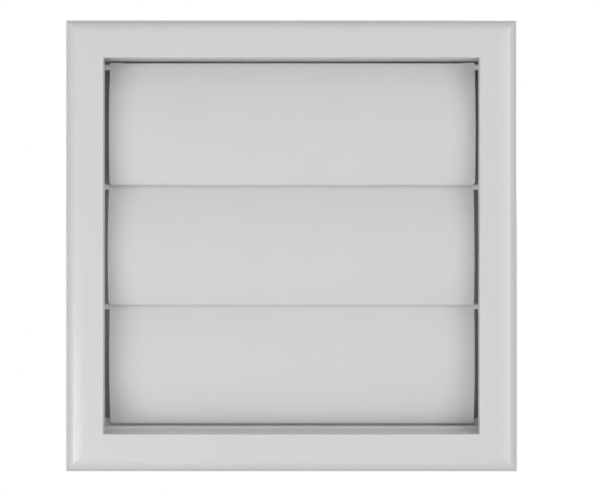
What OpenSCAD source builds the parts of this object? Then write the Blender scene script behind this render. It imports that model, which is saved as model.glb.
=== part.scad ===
// Louvred wall vent: a square front frame that holds three gravity flaps, closed behind by a
// plate with a round duct spigot.
// +Z is up, the flaps face -Y and the spigot points along +Y into the wall.
// The origin is the point where the duct axis meets the wall plane.

/* [Frame] */
// Width and height of the square frame
frame_size = 140; // [134:1:180]
// Distance from the wall plane to the front face
frame_depth = 24; // [22:1:40]
// Rounding along the outer edge of the front face
edge_r = 3.7; // [2.5:0.1:5]
// Radius of the gentle crown that leads the face into the rounded edge
crown_r = 30; // [20:1:60]
// Distance from the outer edge to where the crown starts
crown_width = 6.4; // [5.5:0.1:8]
// Rounding of the four corners, seen from the front
outline_r = 0.5; // [0.3:0.1:2]
// Wall thickness of the frame moulding
wall = 2; // [1.5:0.1:2.5]
// Thickness of the stiffening webs behind the front face
web_thickness = 1.5; // [1:0.1:2.5]
// Distance from the wall plane to the rear edge of the webs
web_setback = 1; // [0:0.5:5]

/* [Opening] */
// Width and height of the square opening
opening_size = 116.2; // [106:0.2:120]
// Rounding along the rim of the opening
rim_r = 0.5; // [0.3:0.1:1]
// Depth of the lip along both sides of the opening, from the front face
lip_depth = 5; // [4:0.5:6]
// Thickness of that lip
lip_thickness = 1.4; // [1:0.1:1.8]
// Distance from the side of the opening out to the side wall of the box
pocket = 2.4; // [2:0.1:3]

/* [Sill] */
// Distance from the front face back to the sill, where the floor of the box steps up
sill_depth = 11; // [8:0.5:12]
// Height of that step
sill_rise = 1.4; // [0.8:0.1:3]
// Clearance between the sill and the lowest flap as it swings over it
sill_gap = 0.4; // [0.3:0.05:1]
// Height above the sill of the rib that the lowest flap closes against
rib_height = 2.2; // [1.5:0.1:4]
// Thickness of that rib
rib_thickness = 1.5; // [1:0.1:2.5]

/* [Back plate] */
// Thickness of the back plate
plate_thickness = 2; // [1.5:0.1:3]
// Clearance between the back plate and the box round it
plate_gap = 0.1; // [0.05:0.05:0.2]
// Radius of the snap ridges along the edges of the back plate
ridge_r = 0.6; // [0.5:0.05:0.7]
// Height of a snap ridge above the edge of the plate
ridge_rise = 0.4; // [0.3:0.05:0.5]
// Length of a snap ridge
ridge_length = 14; // [6:1:30]
// Height of the stops in front of the back plate, above the wall that carries them
stop_rise = 1; // [0.6:0.1:1.5]
// Thickness of a stop
stop_thickness = 1.2; // [1:0.1:2]
// Length of a stop
stop_length = 8; // [4:1:15]
// Distance of a stop from the middle of its wall
stop_spread = 30; // [20:1:40]

/* [Duct spigot] */
// Outside diameter of the spigot
spigot_d = 98.5; // [80:0.5:102]
// Length of the spigot behind the wall plane
spigot_length = 30; // [15:1:60]
// Wall thickness of the spigot
spigot_wall = 2; // [1.5:0.1:3]
// Lead-in chamfer at the end of the spigot
spigot_chamfer = 1; // [0.4:0.1:1.2]

/* [Fixing holes] */
// Diameter of the four screw holes in the back plate
fixing_hole_d = 4.2; // [3:0.1:6]
// Distance from the lower edge of the back plate up to the lower screw holes
fixing_inset = 6.6; // [5:0.1:9]

/* [Flaps] */
// Radius of the curved front of a flap
flap_r = 56; // [48:1:90]
// Skin thickness of a flap
flap_thickness = 1.3; // [1:0.1:1.6]
// Thickness of the rounded bead along the lower edge of a flap
bead_d = 1.9; // [1.6:0.1:2.2]
// Gap between the side of a flap and the side of the opening
side_gap = 0.8; // [0.5:0.1:1.5]
// Rounding of the two lower corners of a flap
corner_r = 1.3; // [1:0.1:3]
// Height of a flap's top edge above its pivot axis
top_rise = 1.4; // [1.2:0.1:1.7]
// Height of a flap's lower edge above the pivot axis of the flap below
lip_rise = 0.4; // [0.3:0.1:0.8]
// Clearance between a closed flap and what it rests on
seat_gap = 0.4; // [0.3:0.05:0.6]
// Angle by which the lowest flap hangs further back than the others
rest_turn = 6.2; // [4:0.1:8]
// Distance that the top flap has slid to the right in its sockets
slide_top = 0.2; // [-0.2:0.05:0.2]
// Distance that the middle flap has slid to the right
slide_middle = -0.15; // [-0.2:0.05:0.2]
// Distance that the lowest flap has slid to the right
slide_bottom = 0.1; // [-0.2:0.05:0.2]

/* [Pivots] */
// Distance from the front face back to the pivot axes
pivot_depth = 11.5; // [9.5:0.5:13]
// Distance from the top of the opening down to the upper pivot axis
pivot_inset = 1.95; // [1.9:0.05:4]
// Diameter of the pivot pins
pin_d = 1.9; // [1.6:0.1:2.2]
// Radial clearance of a pin in its socket
pin_clearance = 0.07; // [0.04:0.01:0.1]
// Distance from the end of a pin to the outside of the box wall
pin_end_gap = 0.4; // [0.3:0.1:0.8]
// Chamfer at the end of a pin
pin_chamfer = 0.25; // [0.1:0.05:0.4]
// Diameter of the thickening behind a flap at each pin
pin_root_d = 3.2; // [2.8:0.1:3.6]
// Length of the thickening behind a flap at each pin
pin_root_length = 4; // [2:0.5:8]

/* [Hidden] */
$fn = 96;
overcut = 1;
flap_count = 3;
webs_per_side = 3;

frame_half = frame_size / 2;
crown_x = frame_half - crown_width;
edge_x = frame_half - edge_r;
crown_turn = asin((edge_x - crown_x) / (crown_r - edge_r));
edge_y = frame_depth - crown_r + (crown_r - edge_r) * cos(crown_turn);
opening_half = opening_size / 2;
pocket_x = opening_half + pocket;
box_x = pocket_x + wall;
box_z = opening_half + wall;
lip_y = lip_depth - frame_depth;
sill_y = sill_depth - frame_depth;
sill_z = sill_rise - opening_half;

plate_x = pocket_x - plate_gap;
plate_low = sill_z + plate_gap;
plate_high = opening_half - plate_gap;
fixing_xz = -plate_low - fixing_inset;
bore_r = spigot_d / 2 - spigot_wall;

pin_r = pin_d / 2;
bead_r = bead_d / 2;
flap_half = opening_half - side_gap;
flap_pitch = (opening_size - pivot_inset - sill_rise - sill_gap + lip_rise) / flap_count;
flap_drop = flap_pitch - lip_rise;
pivot_y = pivot_depth - frame_depth;
pin_end_x = box_x - pin_end_gap;

// The lower edge of each flap rests on the curved front of the next one.
// Seen from the centre of the flap's curve, that puts the bead at this angle.
bead_orbit = flap_r - bead_r;
seat_reach = flap_r + bead_r + seat_gap;
bead_sin = (pow(seat_reach, 2) - pow(bead_orbit, 2) - pow(flap_pitch, 2)) / (2 * flap_pitch * bead_orbit);
bead_angle = asin(bead_sin);

// Centre of the flap's curve, measured from the pivot axis as distance back and height.
// The pivot axis lies on the curved front face, so a flap turns clear of the lip above it.
curve_z = bead_r - flap_drop - bead_orbit * bead_sin;
curve_y = sqrt(pow(flap_r, 2) - pow(curve_z, 2));
bead_y = curve_y - bead_orbit * cos(bead_angle);
bead_z = curve_z + bead_orbit * bead_sin;

// The rounded top edge of the flap, on the middle of the skin.
top_orbit = flap_r - flap_thickness / 2;
top_angle = asin((top_rise - flap_thickness / 2 - curve_z) / top_orbit);

// The stop rib stands behind the bead of the lowest flap.
rib_y = pivot_y + bead_y * cos(rest_turn) - bead_z * sin(rest_turn) + bead_r + seat_gap;

// Height of a flap's pivot axis, counted from the top flap.
function pivot_z(index) = opening_half - pivot_inset - index * flap_pitch;

// A point on a circle about the centre of the flap's curve.
function on_curve(radius, angle) = [curve_y - radius * cos(angle), curve_z + radius * sin(angle)];

// Block between two opposite corners.
module block(low, high) {
    translate(low) cube(high - low);
}

// Section of the frame's outer form, or of the same form a distance further in.
// Flat face, gentle crown and rounded edge run into each other without a step.
module crowned_section(inset) {
    half = frame_half - inset;
    join_x = crown_x + (crown_r - inset) * sin(crown_turn);
    translate([-crown_x, 0]) square([2 * crown_x, frame_depth - inset]);
    translate([-half, 0]) square([2 * half, edge_y]);
    for (side = [0, 1]) mirror([side, 0]) {
        intersection() {
            translate([crown_x, frame_depth - crown_r]) circle(r = crown_r - inset, $fn = 360);
            translate([crown_x, 0]) square([join_x - crown_x, frame_depth]);
        }
        translate([edge_x, edge_y]) circle(r = edge_r - inset);
    }
}

// Square block in front of the wall plane, with a section that meets itself in mitred corners.
module mitred_block(half) {
    intersection() {
        mirror([0, 1, 0]) linear_extrude(height = 2 * half, center = true) children();
        rotate([0, 90, 0]) mirror([0, 1, 0]) linear_extrude(height = 2 * half, center = true) children();
    }
}

// Outline of the frame seen from the front.
module frame_outline() {
    square([frame_size, frame_size - 2 * outline_r], center = true);
    square([frame_size - 2 * outline_r, frame_size], center = true);
    for (x = [-1, 1], z = [-1, 1])
        translate([x, z] * (frame_half - outline_r)) circle(r = outline_r);
}

// Solid outer form of the frame.
module frame_block() {
    intersection() {
        mitred_block(frame_half) crowned_section(0);
        rotate([90, 0, 0]) linear_extrude(height = 2 * frame_depth, center = true) frame_outline();
    }
}

// Outer form of the box behind the opening. Its floor is higher behind the sill.
module box_form() {
    block([-box_x, -frame_depth, -box_z], [box_x, sill_y + wall, box_z]);
    block([-box_x, -frame_depth, sill_z - wall], [box_x, overcut, box_z]);
}

// Space between the outer skirt and the box, open towards the wall.
module rear_channel() {
    difference() {
        mitred_block(frame_half - wall) crowned_section(wall);
        box_form();
        for (turn = [0:90:270])
            rotate([0, turn, 0]) channel_webs();
    }
}

// Row of stiffening webs across the channel on one side of the box.
module channel_webs() {
    spacing = opening_size / webs_per_side;
    for (i = [0:webs_per_side - 1])
        translate([(i - (webs_per_side - 1) / 2) * spacing - web_thickness / 2, -frame_depth, opening_half])
            cube([web_thickness, frame_depth - web_setback, frame_half - opening_half]);
}

// Section of the opening with its flared rim, as deep as the lip.
module opening_section() {
    rim_half = opening_half + rim_r;
    translate([-opening_half, frame_depth - lip_depth - overcut])
        square([opening_size, lip_depth + 2 * overcut]);
    difference() {
        translate([-rim_half, frame_depth - rim_r]) square([2 * rim_half, rim_r + overcut]);
        for (side = [-1, 1])
            translate([side * rim_half, frame_depth - rim_r]) circle(r = rim_r);
    }
}

// Room in which the flaps hang. Behind the lips it is wider than the opening.
module flap_room() {
    mitred_block(opening_half + rim_r) opening_section();
    block([-pocket_x, lip_y, -opening_half], [pocket_x, sill_y, opening_half]);
    block([-pocket_x, lip_y, sill_z], [pocket_x, overcut, opening_half]);
    for (side = [0, 1]) mirror([side, 0, 0])
        block([opening_half + lip_thickness, wall - frame_depth, -opening_half],
            [pocket_x, sill_y, opening_half]);
}

// Rib across the sill, which stops the lowest flap and keeps rain out.
module stop_rib() {
    block([-pocket_x - wall / 2, rib_y, sill_z - wall / 2],
        [pocket_x + wall / 2, rib_y + rib_thickness, sill_z + rib_height]);
}

// Stops on the walls of the box, which the back plate meets as it snaps in.
module plate_stops() {
    front_y = -plate_thickness - stop_thickness;
    half = stop_length / 2;
    for (side = [-1, 1]) {
        middle = side * stop_spread;
        for (turn = [0, 1]) mirror([turn, 0, 0])
            block([pocket_x - stop_rise, front_y, middle - half],
                [pocket_x + wall / 2, -plate_thickness, middle + half]);
        block([middle - half, front_y, opening_half - stop_rise],
            [middle + half, -plate_thickness, opening_half + wall / 2]);
        block([middle - half, front_y, sill_z - wall / 2],
            [middle + half, -plate_thickness, sill_z + stop_rise]);
    }
}

// One snap ridge along each edge of the back plate, or the larger groove that it snaps into.
module snap_ridges(clearance) {
    inset = ridge_r - ridge_rise;
    length = ridge_length + 2 * clearance;
    for (x = [inset - plate_x, plate_x - inset])
        translate([x, -plate_thickness / 2, 0])
            cylinder(h = length, r = ridge_r + clearance, center = true);
    for (z = [plate_low + inset, plate_high - inset])
        translate([0, -plate_thickness / 2, z]) rotate([0, 90, 0])
            cylinder(h = length, r = ridge_r + clearance, center = true);
}

// Cylinder along the duct axis, from one distance behind the wall plane to another.
module duct_cylinder(radius, from, to) {
    translate([0, from, 0]) rotate([-90, 0, 0]) cylinder(h = to - from, r = radius, $fn = 160);
}

// Round spigot that enters the duct, chamfered at its end.
module spigot() {
    outer_r = spigot_d / 2;
    rotate([-90, 0, 0]) rotate_extrude($fn = 160) polygon([
        [bore_r, -plate_thickness],
        [outer_r, -plate_thickness],
        [outer_r, spigot_length - spigot_chamfer],
        [outer_r - spigot_chamfer, spigot_length],
        [bore_r, spigot_length],
    ]);
}

// Holes through both sides of the box, in which the pins of one flap turn.
module pivot_sockets(index) {
    translate([0, pivot_y, pivot_z(index)]) rotate([0, 90, 0])
        cylinder(h = 2 * (box_x + overcut), r = pin_r + pin_clearance, center = true);
}

// Four screw holes in the corners of the back plate, hidden by the closed flaps.
module fixing_holes() {
    for (x = [-1, 1], z = [-1, 1])
        translate([x * fixing_xz, -plate_thickness - overcut, z * fixing_xz]) rotate([-90, 0, 0])
            cylinder(h = plate_thickness + 2 * overcut, r = fixing_hole_d / 2);
}

// Curved skin of a flap with its bead and its rounded top edge, seen from the end.
module flap_section() {
    intersection() {
        difference() {
            translate([curve_y, curve_z]) circle(r = flap_r, $fn = 360);
            translate([curve_y, curve_z]) circle(r = flap_r - flap_thickness, $fn = 360);
        }
        polygon([[curve_y, curve_z], on_curve(2 * flap_r, top_angle), on_curve(2 * flap_r, bead_angle)]);
    }
    translate(on_curve(top_orbit, top_angle)) circle(r = flap_thickness / 2);
    translate(on_curve(bead_orbit, bead_angle)) circle(r = bead_r);
}

// Front outline of a flap, with its two lower corners rounded.
module flap_outline() {
    translate([corner_r - flap_half, -flap_drop - overcut])
        square([2 * (flap_half - corner_r), flap_drop + top_rise + 2 * overcut]);
    translate([-flap_half, corner_r - flap_drop])
        square([2 * flap_half, flap_drop + top_rise - corner_r + overcut]);
    for (side = [-1, 1])
        translate([side * (flap_half - corner_r), corner_r - flap_drop]) circle(r = corner_r);
}

// Thickening behind the skin at both ends of the pivot axis, flush with the curved front.
module pin_roots() {
    intersection() {
        for (side = [-1, 1])
            translate([side * (flap_half - pin_root_length / 2), 0, 0]) rotate([0, 90, 0])
                cylinder(h = pin_root_length, r = pin_root_d / 2, center = true);
        translate([0, curve_y, curve_z]) rotate([0, 90, 0])
            cylinder(h = 2 * flap_half, r = flap_r, center = true, $fn = 360);
    }
}

// Pivot pin at one end of a flap.
module pin() {
    straight = pin_end_x - flap_half - pin_chamfer;
    translate([flap_half, 0, 0]) rotate([0, 90, 0]) {
        cylinder(h = straight, r = pin_r);
        translate([0, 0, straight]) cylinder(h = pin_chamfer, r1 = pin_r, r2 = pin_r - pin_chamfer);
    }
}

// One moulded flap, hung at its pivot axis and closed onto the flap below.
module flap() {
    intersection() {
        rotate([90, 0, 90]) linear_extrude(height = 2 * flap_half, center = true) flap_section();
        rotate([90, 0, 0]) linear_extrude(height = 2 * frame_depth, center = true) flap_outline();
    }
    pin_roots();
    pin();
    mirror([1, 0, 0]) pin();
}

// A flap at its place in the frame, slid to one side and turned back from its closed rest.
module placed_flap(index, slide, turn) {
    translate([slide, pivot_y, pivot_z(index)]) rotate([turn, 0, 0]) flap();
}

// The front frame: rounded face, skirt, and the box with its sockets, sill and stops.
module frame() {
    color("whitesmoke") difference() {
        union() {
            difference() {
                frame_block();
                rear_channel();
                flap_room();
            }
            stop_rib();
            plate_stops();
        }
        snap_ridges(plate_gap);
        for (index = [0:flap_count - 1])
            pivot_sockets(index);
    }
}

// The back plate with its spigot, screwed to the wall and snapped into the back of the box.
module back_plate() {
    color("whitesmoke") difference() {
        union() {
            block([-plate_x, -plate_thickness, plate_low], [plate_x, 0, plate_high]);
            spigot();
            snap_ridges(0);
        }
        duct_cylinder(bore_r, -plate_thickness - overcut, overcut);
        fixing_holes();
    }
}

// The upper flap.
module flap_top() {
    color("gainsboro") placed_flap(0, slide_top, 0);
}

// The middle flap.
module flap_middle() {
    color("gainsboro") placed_flap(1, slide_middle, 0);
}

// The lowest flap, which hangs back onto the stop rib.
module flap_bottom() {
    color("gainsboro") placed_flap(2, slide_bottom, rest_turn);
}

frame();
back_plate();
flap_top();
flap_middle();
flap_bottom();
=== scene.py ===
"""Finishes, studio and camera for a louvred wall vent with three gravity flaps.

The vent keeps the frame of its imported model: +Z is up, the flaps face -Y and the duct
spigot points along +Y. Sizes are in millimetres, and MM turns them into metres.
"""

import logging
import math
from dataclasses import dataclass, field
from enum import Enum

import bmesh
import bpy
from mathutils import Euler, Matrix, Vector


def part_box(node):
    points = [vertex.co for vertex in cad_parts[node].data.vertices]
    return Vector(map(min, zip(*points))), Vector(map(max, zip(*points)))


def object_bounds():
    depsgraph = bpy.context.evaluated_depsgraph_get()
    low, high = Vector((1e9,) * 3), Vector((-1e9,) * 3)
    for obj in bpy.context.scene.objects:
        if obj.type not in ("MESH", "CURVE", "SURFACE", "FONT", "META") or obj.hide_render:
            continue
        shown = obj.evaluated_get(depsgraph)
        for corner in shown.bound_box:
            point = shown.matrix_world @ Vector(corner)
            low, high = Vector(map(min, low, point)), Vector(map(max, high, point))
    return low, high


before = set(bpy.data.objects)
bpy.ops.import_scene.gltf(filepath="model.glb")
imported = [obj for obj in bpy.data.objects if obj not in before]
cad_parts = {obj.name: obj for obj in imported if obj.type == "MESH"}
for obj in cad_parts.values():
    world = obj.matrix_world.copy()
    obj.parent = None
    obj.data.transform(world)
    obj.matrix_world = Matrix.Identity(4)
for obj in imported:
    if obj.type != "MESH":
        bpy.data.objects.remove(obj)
CAD_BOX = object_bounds()

LOG = logging.getLogger("vent")
MM = 0.001
OPAQUE = 1.0
WATTS_PER_RADIANCE = 4.0

Colour = tuple[float, float, float, float]
Socket = bpy.types.NodeSocket
Key = str | int


def linear(hex_code: str) -> Colour:
    """Turns an sRGB hex colour into the linear colour that a shader takes.

    Args:
        hex_code: Six hex digits after a hash sign.

    Returns:
        Linear red, green, blue and an opaque alpha.
    """
    toe, slope, offset, gamma = 0.04045, 12.92, 0.055, 2.4
    channels = [int(hex_code[i:i + 2], 16) / 255 for i in (1, 3, 5)]
    values = [c / slope if c <= toe else ((c + offset) / (1 + offset)) ** gamma for c in channels]
    return (values[0], values[1], values[2], OPAQUE)


def pick(sockets: bpy.types.bpy_prop_collection, key: Key) -> Socket:
    """Finds a socket by its place, its identifier or its name.

    Args:
        sockets: A node's inputs or outputs.
        key: The socket's index, identifier or name.

    Returns:
        The socket.
    """
    if isinstance(key, int):
        return sockets[key]
    for socket in sockets:
        if key in (socket.identifier, socket.name):
            return socket
    raise KeyError(key)


def add_node(
    tree: bpy.types.NodeTree,
    kind: str,
    settings: dict[Key, object] | None = None,
    links: dict[Key, Socket] | None = None,
) -> bpy.types.Node:
    """Adds one node with its settings and its incoming links.

    Args:
        tree: The node tree that gets the node.
        kind: The node's type name, after the words ShaderNode.
        settings: Values for the node's properties, or for its inputs where no property has the name.
        links: Output sockets of other nodes, by the input that each one feeds.

    Returns:
        The new node.
    """
    node = tree.nodes.new(f"ShaderNode{kind}")
    for key, value in (settings or {}).items():
        if isinstance(key, str) and key in node.bl_rna.properties:
            setattr(node, key, value)
        else:
            pick(node.inputs, key).default_value = value
    for key, source in (links or {}).items():
        tree.links.new(source, pick(node.inputs, key))
    return node


def calculate(tree: bpy.types.NodeTree, operation: str, *values: Socket | float) -> Socket:
    """Adds one step of arithmetic.

    Args:
        tree: The node tree that gets the step.
        operation: The Math node's operation.
        values: Sockets or numbers to work on, in order.

    Returns:
        The result's socket.
    """
    settings = {i: v for i, v in enumerate(values) if isinstance(v, (int, float))}
    links = {i: v for i, v in enumerate(values) if not isinstance(v, (int, float))}
    return add_node(tree, "Math", {"operation": operation, **settings}, links).outputs[0]


@dataclass(frozen=True)
class MouldSurface:
    """How one side of the mould was finished, which the plastic copies.

    Attributes:
        roughness: Middle roughness of the plastic.
        spread: How far the roughness wanders to either side of that.
        grain_mm: Distance between neighbouring bumps.
        depth_mm: Height of the bumps.
    """

    roughness: float
    spread: float
    grain_mm: float
    depth_mm: float


@dataclass(frozen=True)
class EjectorPins:
    """Four round marks where pins push the moulding out of its mould.

    Attributes:
        across_mm: Distance of a mark from the middle of the piece, to the left and right.
        up_mm: Distance of a mark from the middle of the piece, up and down.
        middle_mm: Height of the middle of the piece.
        diameter_mm: Diameter of a mark.
        rim_mm: Width of the mark's soft rim.
        depth_mm: Depth of a mark.
    """

    across_mm: float
    up_mm: float
    middle_mm: float
    diameter_mm: float = 5.0
    rim_mm: float = 0.25
    depth_mm: float = 0.06

    def height(self, tree: bpy.types.NodeTree, place: Socket) -> Socket:
        """Draws the marks as a height field.

        Args:
            tree: The node tree that gets the pattern.
            place: Object coordinates of the piece.

        Returns:
            A socket that is 0 inside a mark and 1 outside.
        """
        centred = add_node(tree, "Mapping", {"Location": (0, 0, -self.middle_mm * MM)}, {"Vector": place})
        axes = add_node(tree, "SeparateXYZ", links={"Vector": centred.outputs[0]})
        offsets = []
        for axis, distance in (("X", self.across_mm), ("Z", self.up_mm)):
            size = calculate(tree, "ABSOLUTE", axes.outputs[axis])
            offsets.append(calculate(tree, "SUBTRACT", size, distance * MM))
        squares = [calculate(tree, "MULTIPLY", offset, offset) for offset in offsets]
        reach = calculate(tree, "SQRT", calculate(tree, "ADD", *squares))
        radius = self.diameter_mm / 2
        limits = {"From Min": (radius - self.rim_mm) * MM, "From Max": radius * MM}
        rise = add_node(tree, "MapRange", {"interpolation_type": "SMOOTHSTEP", **limits}, {"Value": reach})
        return rise.outputs[0]


@dataclass(frozen=True)
class MouldedPolystyrene:
    """Injection-moulded white polystyrene, polished on its show side.

    Attributes:
        name: Name of the material.
        tint: Colour of most of the surface.
        flow_tint: Colour of the faint clouds that the melt leaves as it flows.
        flow_mm: Size of those clouds.
        show: The polished side.
        hidden: The spark-eroded side, which nobody sees on the wall.
        pins: Marks of the ejector pins on the hidden side.
        ior: Refractive index of polystyrene.
    """

    name: str
    tint: str
    flow_tint: str
    flow_mm: float
    show: MouldSurface
    hidden: MouldSurface
    pins: EjectorPins
    ior: float = 1.59

    def hidden_side(self, tree: bpy.types.NodeTree, place: Socket, normal: Socket) -> Socket:
        """Marks the hidden side: by default, all that faces the wall.

        Args:
            tree: The node tree that gets the mask.
            place: Object coordinates of the piece.
            normal: The surface's direction in the same coordinates.

        Returns:
            A socket that is 1 on the hidden side and 0 elsewhere.
        """
        facing = add_node(tree, "SeparateXYZ", links={"Vector": normal}).outputs["Y"]
        return calculate(tree, "GREATER_THAN", facing, 0.0)

    def build(self) -> bpy.types.Material:
        """Makes the material.

        Returns:
            The material, with its own tree of nodes.
        """
        material = bpy.data.materials.new(self.name)
        material.use_nodes = True
        tree = material.node_tree
        tree.nodes.clear()
        source = add_node(tree, "TexCoord")
        place = source.outputs["Object"]
        hidden = self.hidden_side(tree, place, source.outputs["Normal"])

        shader = add_node(
            tree,
            "BsdfPrincipled",
            {"IOR": self.ior},
            {
                "Base Color": self._colour(tree, place),
                "Roughness": self._roughness(tree, place, hidden),
                "Normal": self._relief(tree, place, hidden),
            },
        )
        add_node(tree, "OutputMaterial", links={"Surface": shader.outputs[0]})
        return material

    def _noise(self, tree: bpy.types.NodeTree, place: Socket, size_mm: float, detail: float) -> Socket:
        """Adds a noise pattern with features of a real size."""
        settings = {"Scale": 1 / (size_mm * MM), "Detail": detail}
        return add_node(tree, "TexNoise", settings, {"Vector": place}).outputs[0]

    def _colour(self, tree: bpy.types.NodeTree, place: Socket) -> Socket:
        """Mixes the faint flow clouds into the tint."""
        clouds = self._noise(tree, place, self.flow_mm, 3.0)
        settings = {"data_type": "RGBA", "A_Color": linear(self.tint), "B_Color": linear(self.flow_tint)}
        return pick(add_node(tree, "Mix", settings, {"Factor_Float": clouds}).outputs, "Result_Color")

    def _roughness(self, tree: bpy.types.NodeTree, place: Socket, hidden: Socket) -> Socket:
        """Lets the gloss wander a little, and dulls the hidden side."""
        patches = self._noise(tree, place, self.flow_mm / 2, 4.0)
        ranges = []
        for side in (self.show, self.hidden):
            limits = {"To Min": side.roughness - side.spread, "To Max": side.roughness + side.spread}
            ranges.append(add_node(tree, "MapRange", limits, {"Value": patches}).outputs[0])
        links = {"Factor_Float": hidden, "A_Float": ranges[0], "B_Float": ranges[1]}
        return pick(add_node(tree, "Mix", links=links).outputs, "Result_Float")

    def _relief(self, tree: bpy.types.NodeTree, place: Socket, hidden: Socket) -> Socket:
        """Raises the grain of each side and sinks the ejector marks."""
        grains = [
            calculate(tree, "MULTIPLY", self._noise(tree, place, side.grain_mm, 2.0), side.depth_mm * MM)
            for side in (self.show, self.hidden)
        ]
        marks = calculate(tree, "MULTIPLY", self.pins.height(tree, place), self.pins.depth_mm * MM)
        rough = calculate(tree, "ADD", grains[1], marks)
        links = {"Factor_Float": hidden, "A_Float": grains[0], "B_Float": rough}
        height = pick(add_node(tree, "Mix", links=links).outputs, "Result_Float")
        return add_node(tree, "Bump", {"Distance": 1.0}, {"Height": height}).outputs[0]


@dataclass(frozen=True)
class FramePolystyrene(MouldedPolystyrene):
    """The frame's plastic: polished where eyes and hands reach, plain in the channel and pockets.

    Attributes:
        skirt_mm: Distance from the middle past which only the polished outer skirt lies.
        box_mm: Distance from the middle within which the polished opening lies.
    """

    skirt_mm: float = 69.0
    box_mm: float = 58.4

    def hidden_side(self, tree: bpy.types.NodeTree, place: Socket, normal: Socket) -> Socket:
        """Marks the channel behind the face and the pockets behind the lips.

        Args:
            tree: The node tree that gets the mask.
            place: Object coordinates of the frame.
            normal: The surface's direction in the same coordinates.

        Returns:
            A socket that is 1 on the hidden side and 0 elsewhere.
        """
        axes = add_node(tree, "SeparateXYZ", links={"Vector": place}).outputs
        facing = add_node(tree, "SeparateXYZ", links={"Vector": normal}).outputs["Y"]
        reach = calculate(tree, "MAXIMUM", *(calculate(tree, "ABSOLUTE", axes[i]) for i in ("X", "Z")))
        not_front = calculate(tree, "GREATER_THAN", facing, -0.05)
        inside_skirt = calculate(tree, "LESS_THAN", reach, self.skirt_mm * MM)
        outside_box = calculate(tree, "GREATER_THAN", reach, self.box_mm * MM)
        return calculate(tree, "MULTIPLY", calculate(tree, "MULTIPLY", not_front, inside_skirt), outside_box)


POLISHED = MouldSurface(roughness=0.24, spread=0.03, grain_mm=4.0, depth_mm=0.002)
SPARK_ERODED = MouldSurface(roughness=0.5, spread=0.05, grain_mm=0.5, depth_mm=0.012)


@dataclass
class MouldedFrame:
    """The frame: one moulding with the face, the skirt and the box round the flaps.

    Attributes:
        node: Name of its node.
        finish: Its plastic, with the ejector marks on the floor of the channel.
    """

    node: str = "frame"
    finish: FramePolystyrene = FramePolystyrene(
        name="white_polystyrene_frame",
        tint="#E0E0E0",
        flow_tint="#DCDCDC",
        flow_mm=26.0,
        show=POLISHED,
        hidden=SPARK_ERODED,
        pins=EjectorPins(across_mm=65.25, up_mm=20.0, middle_mm=0.0, diameter_mm=4.0),
    )

    def dress(self) -> None:
        """Gives the frame its plastic."""
        put_on(self.node, self.finish.build())


@dataclass
class MouldedBackPlate:
    """The back plate: one moulding with the duct spigot.

    Attributes:
        node: Name of its node.
        finish: Its plastic, with the ejector marks beside the spigot.
    """

    node: str = "back_plate"
    finish: MouldedPolystyrene = MouldedPolystyrene(
        name="white_polystyrene_back_plate",
        tint="#E0E0E0",
        flow_tint="#DCDCDC",
        flow_mm=26.0,
        show=POLISHED,
        hidden=SPARK_ERODED,
        pins=EjectorPins(across_mm=54.0, up_mm=37.0, middle_mm=0.0),
    )

    def dress(self) -> None:
        """Gives the back plate its plastic."""
        put_on(self.node, self.finish.build())


class FlapPlace(Enum):
    """The three flaps, by node name."""

    TOP = "flap_top"
    MIDDLE = "flap_middle"
    BOTTOM = "flap_bottom"


@dataclass
class GravityFlap:
    """One flap, moulded with its two pins.

    Attributes:
        place: Which of the three flaps it is.
        pin_across_mm: Distance of its ejector marks from the middle, left and right.
        pin_up_mm: Distance of its ejector marks from its middle, up and down.
    """

    place: FlapPlace
    pin_across_mm: float = 34.0
    pin_up_mm: float = 9.0

    def dress(self) -> None:
        """Gives the flap its plastic, with the marks centred on this flap."""
        low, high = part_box(self.place.value)
        middle = (low.z + high.z) / 2 / MM
        finish = MouldedPolystyrene(
            name=f"white_polystyrene_{self.place.value}",
            tint="#E0E0E0",
            flow_tint="#DBDBDB",
            flow_mm=18.0,
            show=POLISHED,
            hidden=SPARK_ERODED,
            pins=EjectorPins(across_mm=self.pin_across_mm, up_mm=self.pin_up_mm, middle_mm=middle),
        )
        put_on(self.place.value, finish.build())


def put_on(node: str, material: bpy.types.Material) -> None:
    """Gives a CAD node its material and reports it.

    Args:
        node: Name of the CAD node.
        material: The finished material.
    """
    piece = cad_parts[node]
    for slot in piece.material_slots:
        slot.material = material
    LOG.info("%s: %d faces in %s", node, len(piece.data.polygons), material.name)


@dataclass(frozen=True)
class SoftBox:
    """A rectangular lamp aimed at the vent.

    Attributes:
        name: Name of the lamp.
        azimuth: Angle to the right of the camera's side, in degrees.
        elevation: Angle above the horizon, in degrees.
        distance_mm: Distance from the middle of the face.
        width_mm: Width of the lamp.
        height_mm: Height of the lamp.
        radiance: How bright its surface is, where 1 is white paper in full light.
    """

    name: str
    azimuth: float
    elevation: float
    distance_mm: float
    width_mm: float
    height_mm: float
    radiance: float

    def place(self, target: Vector) -> bpy.types.Object:
        """Hangs the lamp.

        Args:
            target: The point that it faces, in metres.

        Returns:
            The lamp's object.
        """
        data = bpy.data.lights.new(self.name, "AREA")
        data.shape = "RECTANGLE"
        data.size = self.width_mm * MM
        data.size_y = self.height_mm * MM
        data.energy = WATTS_PER_RADIANCE * self.radiance * data.size * data.size_y
        lamp = bpy.data.objects.new(self.name, data)
        turn = Euler((-math.radians(self.elevation), 0, math.radians(self.azimuth)))
        away = Vector((0, -self.distance_mm * MM, 0))
        away.rotate(turn)
        lamp.location = target + away
        lamp.rotation_euler = (-away).to_track_quat("-Z", "Y").to_euler()
        lamp.visible_camera = False
        bpy.context.scene.collection.objects.link(lamp)
        return lamp


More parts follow.
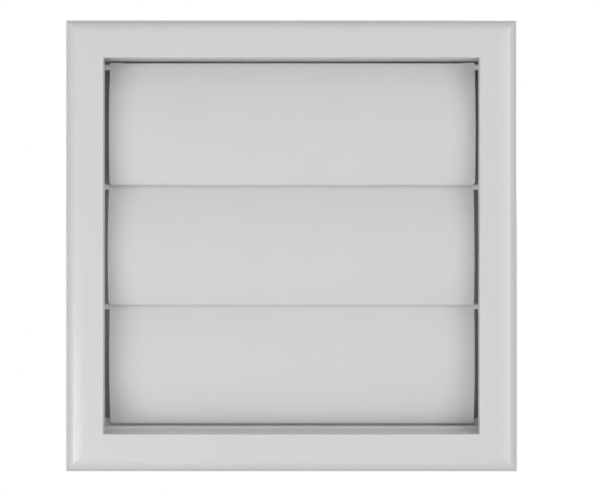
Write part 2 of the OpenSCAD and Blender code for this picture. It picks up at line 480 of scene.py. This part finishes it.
@dataclass
class Studio:
    """Soft lamps, a white surround and a pale floor.

    Attributes:
        lamps: The lamps.
        fill: Brightness of the surround in front, as the vent's matt surfaces see it.
        fill_behind: The same for the surround behind the vent, where its wall would be.
        floor_drop_mm: Distance from the vent's lower edge down to the floor.
        floor_radius_mm: Radius of the floor.
        floor_tint: Colour of the floor.
    """

    lamps: list[SoftBox] = field(default_factory=lambda: [
        SoftBox("key", azimuth=-35, elevation=-22, distance_mm=750, width_mm=450, height_mm=450, radiance=3.4),
        SoftBox("fill", azimuth=35, elevation=0, distance_mm=850, width_mm=450, height_mm=600, radiance=1.5),
        SoftBox("rear", azimuth=150, elevation=20, distance_mm=700, width_mm=450, height_mm=450, radiance=1.2),
    ])
    fill: float = 0.46
    fill_behind: float = 0.2
    floor_drop_mm: float = 260.0
    floor_radius_mm: float = 1500.0
    floor_tint: str = "#F4F4F4"

    def build(self) -> None:
        """Sets up the whole studio."""
        low, high = CAD_BOX
        face = Vector(((low.x + high.x) / 2, low.y, (low.z + high.z) / 2))
        for lamp in self.lamps:
            lamp.place(face)
            LOG.info("lamp %s", lamp.name)
        self._surround()
        self._floor(low.z - self.floor_drop_mm * MM)

    def _surround(self) -> None:
        """Makes the world: white to the eye and in reflections, dimmer as a light."""
        world = bpy.data.worlds.new("studio_surround")
        bpy.context.scene.world = world
        world.use_nodes = True
        tree = world.node_tree
        tree.nodes.clear()
        path = add_node(tree, "LightPath").outputs
        seen = calculate(tree, "MAXIMUM", path["Is Camera Ray"], path["Is Glossy Ray"])
        seen = calculate(tree, "MAXIMUM", seen, path["Is Transmission Ray"])
        direction = add_node(tree, "TexCoord").outputs["Generated"]
        depth = add_node(tree, "SeparateXYZ", links={"Vector": direction}).outputs["Y"]
        behind = calculate(tree, "GREATER_THAN", depth, 0.0)
        limits = {"To Min": self.fill, "To Max": self.fill_behind}
        light = add_node(tree, "MapRange", limits, {"Value": behind}).outputs[0]
        links = {"Value": seen, "To Min": light}
        level = add_node(tree, "MapRange", {"To Max": 1.0}, links)
        white = add_node(tree, "Background", {"Color": linear("#FFFFFF")}, {"Strength": level.outputs[0]})
        add_node(tree, "OutputWorld", links={"Surface": white.outputs[0]})

    def _floor(self, height: float) -> None:
        """Lays the pale round floor.

        Args:
            height: The floor's height, in metres.
        """
        mesh = bpy.data.meshes.new("studio_floor")
        form = bmesh.new()
        bmesh.ops.create_circle(form, cap_ends=True, segments=96, radius=self.floor_radius_mm * MM)
        bmesh.ops.translate(form, verts=form.verts[:], vec=Vector((0, 0, height)))
        form.to_mesh(mesh)
        form.free()
        floor = bpy.data.objects.new("studio_floor", mesh)
        bpy.context.scene.collection.objects.link(floor)
        mesh.materials.append(self._floor_material())
        LOG.info("floor %.0f mm under the vent", self.floor_drop_mm)

    def _floor_material(self) -> bpy.types.Material:
        """Makes the floor's matt card, which fades into the white surround with distance."""
        material = bpy.data.materials.new("matt_white_card")
        material.use_nodes = True
        tree = material.node_tree
        tree.nodes.clear()
        place = add_node(tree, "TexCoord").outputs["Object"]
        flat = add_node(tree, "VectorMath", {"operation": "MULTIPLY", 1: (1, 1, 0)}, {0: place})
        reach = add_node(tree, "VectorMath", {"operation": "LENGTH"}, {0: flat.outputs[0]}).outputs["Value"]
        limits = {"From Min": 0.15 * self.floor_radius_mm * MM, "From Max": 0.6 * self.floor_radius_mm * MM}
        fade = add_node(tree, "MapRange", {"interpolation_type": "SMOOTHSTEP", **limits}, {"Value": reach})
        path = add_node(tree, "LightPath").outputs
        seen = calculate(tree, "MAXIMUM", path["Is Camera Ray"], path["Is Glossy Ray"])
        card = add_node(tree, "BsdfDiffuse", {"Color": linear(self.floor_tint)}).outputs[0]
        white = add_node(tree, "Emission", {"Color": linear("#FFFFFF"), "Strength": 1.0}).outputs[0]
        factor = calculate(tree, "MULTIPLY", fade.outputs[0], seen)
        mixed = add_node(tree, "MixShader", links={0: factor, 1: card, 2: white})
        add_node(tree, "OutputMaterial", links={"Surface": mixed.outputs[0]})
        return material


@dataclass
class PhotoCamera:
    """The photograph's view: square on to the face.

    Attributes:
        image_px: Width and height of the photograph.
        centre_px: Where the middle of the vent's face lies in it.
        mm_per_px: Size of one pixel at the face.
        distance_mm: Distance from the face to the camera.
        sensor_mm: Width of the camera's sensor.
    """

    image_px: tuple[int, int] = (601, 496)
    centre_px: tuple[float, float] = (291.5, 245.8)
    mm_per_px: float = 0.3087
    distance_mm: float = 600.0
    sensor_mm: float = 36.0

    def place(self) -> None:
        """Puts the camera up and makes it the scene's own."""
        low, high = CAD_BOX
        right = (self.image_px[0] / 2 - self.centre_px[0]) * self.mm_per_px
        up = (self.centre_px[1] - self.image_px[1] / 2) * self.mm_per_px
        data = bpy.data.cameras.new("photo_camera")
        data.sensor_width = self.sensor_mm
        data.lens = self.sensor_mm * self.distance_mm / (self.image_px[0] * self.mm_per_px)
        camera = bpy.data.objects.new("photo_camera", data)
        middle = (low + high) / 2
        camera.location = (middle.x + right * MM, low.y - self.distance_mm * MM, middle.z + up * MM)
        camera.rotation_euler = (math.radians(90), 0, 0)
        bpy.context.scene.collection.objects.link(camera)
        bpy.context.scene.camera = camera
        LOG.info("camera %.0f mm in front of the face, lens %.1f mm", self.distance_mm, data.lens)


@dataclass
class WallVent:
    """The whole vent.

    Attributes:
        body: The moulded frame.
        plate: The back plate with its spigot.
        flaps: The three flaps, from the top down.
    """

    body: MouldedFrame = field(default_factory=MouldedFrame)
    plate: MouldedBackPlate = field(default_factory=MouldedBackPlate)
    flaps: list[GravityFlap] = field(default_factory=lambda: [GravityFlap(place) for place in FlapPlace])

    def dress(self) -> None:
        """Gives every piece its finish."""
        self.body.dress()
        self.plate.dress()
        for flap in self.flaps:
            flap.dress()


def main() -> None:
    """Dresses the vent and sets up its studio and camera."""
    logging.basicConfig(level=logging.INFO, format="%(message)s")
    bpy.context.scene.view_settings.view_transform = "Standard"
    WallVent().dress()
    Studio().build()
    PhotoCamera().place()


if __name__ == "__main__":
    main()
